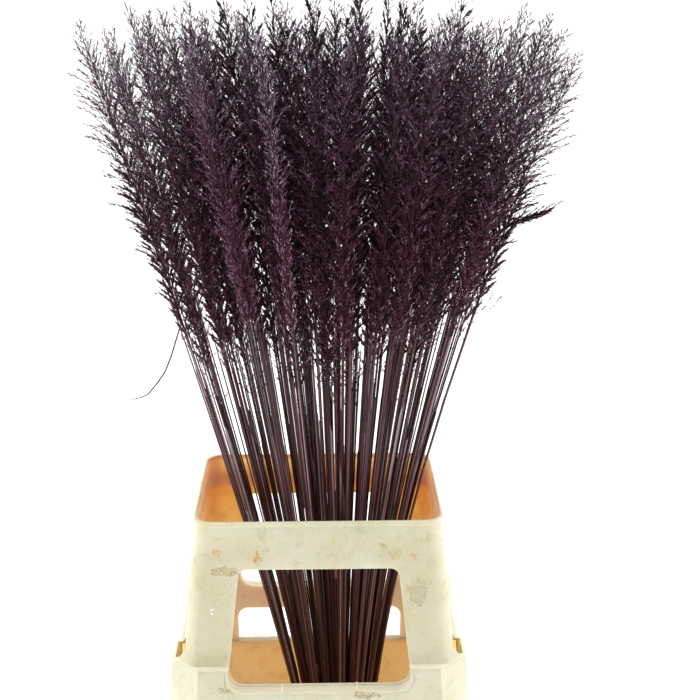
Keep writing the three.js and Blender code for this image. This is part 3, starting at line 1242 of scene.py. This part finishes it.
    def add_plume(self, mesh: Gathered, stem: Stem) -> None:
        """Adds a plume: branches round the rachis, long and spreading low down, short and
        upright at the tip.

        Args:
            mesh: The mesh that takes it.
            stem: The stem that carries it.
        """
        habit = self.habit(stem)
        outwards = math.hypot(stem.u, stem.v)
        # Besides its own random tone and its habit's paleness, a plume is lightened the further out it
        # stands and darkened in the middle of the bunch: painted light and shade.
        tone = 0.2 * (draw(stem.index, 12) - 0.5) + habit.paler + 0.16 * outwards - 0.06
        few, many = self.branches
        count = round(few + (many - few) * float(smooth(0.3, 0.8, outwards)))
        for k in range(count):
            seed = stem.index * 131 + k
            s = ((k + 0.5) / count) ** (0.77 + 0.25 * outwards)
            z = stem.neck + stem.rise * s
            tip = max(0.0, (s - 0.7) / 0.3)
            full = min(1.0, 0.36 + 1.1 * s) * (1 - 0.84 * tip**1.2)
            wanted = habit.branch * full * (0.7 + 0.5 * draw(seed, 13))
            turn = k * GOLDEN + 0.9 * draw(seed, 15)
            spread = 18 + 17 * min(1.0, 2 * s) - 17 * tip
            tilt = math.radians(habit.spread * spread * (0.5 + 0.7 * draw(seed, 16)))
            airy = draw(seed, 43) < (s - 0.8 + 0.42 * smooth(0.45, 1.0, outwards)) / 0.2
            fill = Fill.SPARSE if s < 0.06 else Fill.AIRY if airy else Fill.FULL
            # Branches near the tip and low down are lightened: painted highlight.
            paler = tone + 0.22 * max(0.0, s - 0.55) + 0.32 * max(0.0, 0.5 - s)
            self.add_branch(mesh, stem, Branch(wanted, paler, seed, fill), z, turn, tilt)
        self.add_lax_branches(mesh, stem, tone)

    def add_lax_branches(self, mesh: Gathered, stem: Stem, tone: float) -> None:
        """Adds the sparse branches that rise below many plumes.

        Args:
            mesh: The mesh that takes them.
            stem: The stem that carries them.
            tone: How much paler the plume is.
        """
        for k in range(int(3.2 * draw(stem.index, 18))):
            seed = stem.index * 137 + k
            z = stem.neck - 3 - 26 * draw(seed, 19)
            tilt = math.radians(12 + 24 * draw(seed, 20))
            branch = Branch(18 + 16 * draw(seed, 41), tone + 0.08, seed, Fill.SPARSE)
            self.add_branch(mesh, stem, branch, z, WHOLE_TURN * draw(seed, 42), tilt)

    def add_branch(
        self, mesh: Gathered, stem: Stem, branch: Branch, z: float, turn: float, tilt: float
    ) -> None:
        """Adds one branch to a stem.

        Args:
            mesh: The mesh that takes it.
            stem: The stem that carries it.
            branch: What it is like.
            z: The height where it starts, in millimetres.
            turn: The way that it points, round the stem.
            tilt: Its angle from the stem.
        """
        ahead, side = squared((stem.axis(z + 2) - stem.axis(z - 2))[0], turn)
        up = ahead * math.cos(tilt) + side * math.sin(tilt)
        out = side * math.cos(tilt) - ahead * math.sin(tilt)
        self.place_branch(mesh, stem, branch, stem.axis(z)[0] + side * 0.4, up, out)

    def place_branch(
        self,
        mesh: Gathered,
        stem: Stem,
        branch: Branch,
        start: np.ndarray,
        up: np.ndarray,
        out: np.ndarray,
    ) -> None:
        """Places a copy of the shared branch nearest to a length.

        Args:
            mesh: The mesh that takes it.
            stem: The stem that carries it.
            branch: What it is like.
            start: Where it starts, in millimetres.
            up: The way that it grows.
            out: The way that it bows.
        """
        seed = branch.seed
        near = sorted(self.sprays[branch.fill], key=lambda spray: abs(spray[2] - branch.length))
        form, tints, _ = near[int(2 * draw(seed, 14))]
        points = form.points @ np.stack([out, np.cross(up, out), up]) + start
        shade = np.clip(tints * 0.88 + 0.02 + branch.tone + 0.16 * (draw(seed, 17) - 0.5), 0.01, 0.99)
        height = 0.51 + 0.48 * np.clip((points[:, 2] - stem.neck) / (stem.length + 30), 0, 1)
        mesh.add(points * MM, form, np.stack([shade, height], 1), 0)

    def add_strays(
        self,
        mesh: Gathered,
        stem: Stem,
        start: tuple[float, float],
        fill: Fill,
        reach: Iterable[tuple[float, float, float]],
    ) -> None:
        """Adds branches that stick out of the bunch, in the plane of the front.

        Args:
            mesh: The mesh that takes them.
            stem: The stem that carries them.
            start: The x and z where the first one starts, in millimetres.
            fill: How close their husks stand.
            reach: Each branch's start along the way, rise in degrees and length.
        """
        at = stem.axis(start[1])[0]
        sign = math.copysign(1.0, start[0])
        for number, (along, rise, length) in enumerate(reach):
            angle = math.radians(rise)
            up = np.array([sign * math.cos(angle), 0, math.sin(angle)])
            out = np.array([-sign * math.sin(angle), 0, math.cos(angle)])
            first = np.array([start[0], at[1], start[1]]) + along * np.array([sign * 0.94, 0, 0.34])
            branch = Branch(length, -0.05, stem.index * 151 + number, fill)
            self.place_branch(mesh, stem, branch, first, up, out)

    def add_leaf(self, mesh: Gathered, stem: Stem) -> None:
        """Adds the one dry, grey, thread-like leaf that droops from the outermost stem.

        Args:
            mesh: The mesh that takes it.
            stem: The stem that carries it.
        """
        form = take_mesh(self.tube(4, 1, "NGON", (cut / 18 for cut in range(1, 18))))
        across, down = np.array(self.leaf_path).T
        way = np.linspace(0, 1, len(across))
        share = form.points[:, 2]
        at = stem.axis(self.leaf_from)[0]
        radius = 0.7 - 0.1 * share
        points = np.stack(
            [
                at[0] - np.interp(share, way, across) + form.points[:, 0] * radius,
                at[1] + 0.2 * np.interp(share, way, across) + form.points[:, 1] * radius * 0.7,
                at[2] - np.interp(share, way, down) - form.points[:, 0] * radius * 0.6,
            ],
            1,
        )
        grey = np.tile([0.58, 0.25], (len(points), 1))
        mesh.add(points * MM, form, grey, 1)

    def add_culm(self, mesh: Gathered, stem: Stem, form: Form, aside: float = 0.0) -> None:
        """Adds a culm and its rachis, with a swelling at each node.

        Args:
            mesh: The mesh that takes it.
            stem: The stem.
            form: The culm's form.
            aside: How far it stands from the stem's axis at its neck, in millimetres.
        """
        z = form.points[:, 2]
        height = np.where(
            z <= 1,
            self.foot_z + (stem.neck - self.foot_z) * z,
            stem.neck + (stem.rise - 2) * (z - 1) * (0.15 if aside else 1),
        )
        slim = 0.75 if aside else 1.0
        radius = slim * np.where(z <= 1, 1.45 - 0.4 * z, 0.85 - 0.55 * (z - 1))
        for node in (0.247, 0.568):
            radius = np.where(np.abs(z - node) < 0.002, radius * 1.22, radius)
        turn = np.arctan2(form.points[:, 1], form.points[:, 0])
        points = stem.axis(height)
        away = WHOLE_TURN * draw(stem.index, 44)
        apart = np.minimum(z, 1.0) * aside
        points[:, 0] += apart * math.cos(away)
        points[:, 1] += apart * math.sin(away)
        reach = np.hypot(form.points[:, 0], form.points[:, 1]) * radius
        points[:, 0] += reach * np.cos(turn + stem.index)
        points[:, 1] += reach * np.sin(turn + stem.index)
        # Each side of the culm gets its own tint: dark dye streaks, and light columns that are partly
        # painted highlights.
        column = np.round(turn / (2 * math.pi) * 7).astype(int) % 7
        base = 0.05 + 0.42 * draw(stem.index + aside, 21)
        spread = np.array([draw(stem.index * 7 + c + aside, 22) ** 1.8 for c in range(7)])
        shade = np.clip(base + 0.75 * spread[column], 0.01, 0.99) * np.where(z > 1.02, 0.6, 1.0)
        mesh.add(points * MM, form, np.stack([shade, 0.02 + 0.23 * z], 1), 1)

    def add_sheath(
        self, mesh: Gathered, stem: Stem, form: Form, low: float, high: float, number: int
    ) -> None:
        """Adds a leaf sheath round the culm.

        Args:
            mesh: The mesh that takes it.
            stem: The stem.
            form: The sheath's form.
            low: The share of the culm's height where it starts.
            high: The share where its mouth is.
            number: Which sheath of the stem it is.
        """
        rise = form.points[:, 2]
        span = stem.neck - self.foot_z
        points = stem.axis(self.foot_z + span * (low + (high - low) * rise))
        radius = 1.95 - 0.25 * rise + 0.25 * smooth(0.85, 1.0, rise)
        turn = 2.1 * stem.index + number
        x, y = form.points[:, 0] * radius, form.points[:, 1] * radius
        points[:, 0] += x * math.cos(turn) - y * math.sin(turn)
        points[:, 1] += x * math.sin(turn) + y * math.cos(turn)
        # Each side of the sheath gets its own tint: dark dye streaks, and light columns that are partly
        # painted highlights.
        round_it = np.arctan2(form.points[:, 1], form.points[:, 0])
        column = np.round(round_it / (2 * math.pi) * 8).astype(int) % 8
        base = 0.08 + 0.45 * draw(stem.index + 300 * number, 23)
        spread = np.array([draw(stem.index * 8 + c, 24 + number) ** 2 for c in range(8)])
        shade = np.clip(base + 0.8 * spread[column], 0.01, 0.99)
        share = low + (high - low) * rise
        mesh.add(points * MM, form, np.stack([shade, 0.02 + 0.23 * share], 1), 1)

    def build(self, plume: bpy.types.Material, culm: bpy.types.Material) -> list[bpy.types.Object]:
        """Makes one piece for each pair of stems, in the order of the CAD nodes.

        Args:
            plume: The spikelets' finish.
            culm: The culms' finish.

        Returns:
            The pieces.
        """
        self.plant()
        self.make_sprays()
        culm_form = self.culm_form(7, self.culm_rings)
        side_form = self.culm_form(5, self.side_rings)
        sheath_form = self.sheath_form()
        leftmost = min(self.stems, key=lambda s: s.axis(self.leaf_from)[0, 0])
        rightmost = max(self.stems, key=lambda s: s.axis(self.strays_from)[0, 0])
        made = []
        for stem in self.stems:
            if stem.index > stem.mate.index:
                continue
            number = len(made) + 1
            mesh = Gathered()
            for each in (stem, stem.mate):
                self.add_plume(mesh, each)
                self.add_culm(mesh, each, culm_form)
                for side in range(1 + int(draw(each.index, 45) < 0.25)):
                    aside = (3.5 + 4.5 * draw(each.index + side, 46)) * (1 - 2 * side)
                    self.add_culm(mesh, each, side_form, aside)
                if draw(each.index, 31) < 0.75:
                    top = 0.5 + 0.4 * draw(each.index, 32)
                    self.add_sheath(mesh, each, sheath_form, 0.25, top, 0)
                if draw(each.index, 33) < 0.5:
                    top = 0.84 + 0.14 * draw(each.index, 34)
                    self.add_sheath(mesh, each, sheath_form, 0.57, top, 1)
                if each is leftmost:
                    self.add_leaf(mesh, each)
                    self.add_strays(mesh, each, (-190.0, 687.0), Fill.SPARSE, self.left_strays)
                if each is rightmost:
                    self.add_strays(mesh, each, (176.4, 640.4), Fill.FULL, self.right_strays)
                    self.add_strays(mesh, each, (148.3, 551.0), Fill.SPARSE, self.low_strays)
            obj = mesh.build(f"feather_reed_{number:02d}", [plume, culm])
            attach(obj, "root")
            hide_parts(f"reed_grass_{number:02d}")
            made.append(obj)
        return made


# ---------------------------------------------------------------- studio


@dataclass
class Studio:
    """The floor, the soft lights and the camera.

    A softbox has a name, a place and a side in metres, and a power in watts.
    """

    floor_side: float = 240.0
    camera_at: tuple[float, float, float] = (0.002, -1.253, 0.885)
    pitch_down: float = 16.6
    turn: float = -1.41
    lens: float = 36 * 1300 / 700
    front_light: float = 0.38
    back_light: float = 1.5
    softboxes: tuple[tuple[str, tuple[float, float, float], float, float], ...] = (
        ("left_softbox", (-2.4, -0.25, 1.3), 1.3, 28),
        ("right_softbox", (2.4, -0.25, 1.3), 1.3, 28),
        ("top_softbox", (0, -0.7, 2.7), 1.6, 18),
    )

    def build(self, floor: bpy.types.Material) -> None:
        """Makes the floor, the world, the lights and the camera.

        Args:
            floor: The floor's finish.
        """
        bpy.ops.object.select_all(action="DESELECT")
        bpy.ops.mesh.primitive_plane_add(size=self.floor_side, location=(0, 0, -0.0002))
        ground = bpy.context.active_object
        ground.name = "pale_floor"
        ground.data.materials.append(floor)
        scene = bpy.context.scene
        scene.view_settings.view_transform = "Standard"
        world = bpy.data.worlds.new("studio_white")
        world.use_nodes = True
        tree = world.node_tree
        back = tree.nodes["Background"]
        back.inputs["Color"].default_value = linear("ffffff")
        # The room is a little brighter behind the object than in front of it.
        place = add_node(tree, "ShaderNodeTexCoord").outputs["Generated"]
        way = add_node(tree, "ShaderNodeSeparateXYZ", {0: place}).outputs["Y"]
        level = {"Value": way, 1: -1.0, 2: 1.0, 3: self.front_light, 4: self.back_light}
        feed(back, {"Strength": add_node(tree, "ShaderNodeMapRange", level)})
        scene.world = world
        for name, at, size, power in self.softboxes:
            self.softbox(name, at, size, power)
        camera = bpy.data.objects.new("camera", bpy.data.cameras.new("camera"))
        camera.location = self.camera_at
        camera.rotation_euler = (math.radians(90 - self.pitch_down), 0, math.radians(self.turn))
        camera.data.sensor_width = 36
        camera.data.lens = self.lens
        camera.data.clip_end = 500
        scene.collection.objects.link(camera)
        scene.camera = camera

    def softbox(self, name: str, at: tuple[float, float, float], size: float, power: float) -> None:
        """Adds a square soft light aimed at the middle of the bunch.

        Args:
            name: Its name.
            at: Its place in metres.
            size: Its side in metres.
            power: Its power in watts.
        """
        data = bpy.data.lights.new(name, "AREA")
        data.size = size
        data.energy = power
        data.color = (0.94, 0.97, 1.0)
        light = bpy.data.objects.new(name, data)
        light.location = at
        aim = Vector((0, 0, 0.4)) - Vector(at)
        light.rotation_euler = aim.to_track_quat("-Z", "Y").to_euler()
        bpy.context.scene.collection.objects.link(light)


def main() -> None:
    """Builds the scene."""
    logging.basicConfig(level=logging.INFO, format="%(message)s")
    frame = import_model()
    # The bin's finish is paler than the collar's: partly its own paler colour, partly painted
    # highlight, so that its brightly lit chamfers come out whiter.
    paler = AgedCream(
        name="pale_cream_polypropylene_painted_highlight", clean="dad4c2", yellowed="cdc7a6", scuffed="c0ba98"
    )
    # Both insides carry a painted glow: emission that stands in for light through the walls.
    bin_inside = AmberInside(glow=0.04, ear_painted_glow=0.9)
    collar_inside = AmberInside(name="stained_and_glow_painted_collar_inside", glow=0.3)
    ledge = PaintedLightLedge().build()
    for moulding, outside, inside in (
        (Moulding("bin", "container_bin", BinWall()), paler, bin_inside),
        (
            Moulding("collar", "container_collar", Wall(), inner_depth=1.7, rim_taper=2.4),
            AgedCream(),
            collar_inside,
        ),
    ):
        piece = moulding.build(frame, [outside.build(), inside.build(), ledge])
        LOG.info("%s: %d faces", piece.name, len(piece.data.polygons))
    total = 0
    for piece in Bunch().build(DyedPlume().build(), DyedCulm().build()):
        piece.data.calc_loop_triangles()
        LOG.info("%s: %d triangles", piece.name, len(piece.data.loop_triangles))
        total += len(piece.data.loop_triangles)
    LOG.info("the grass: %d triangles", total)
    Studio().build(PaleFloor().build())


if __name__ == "__main__":
    main()
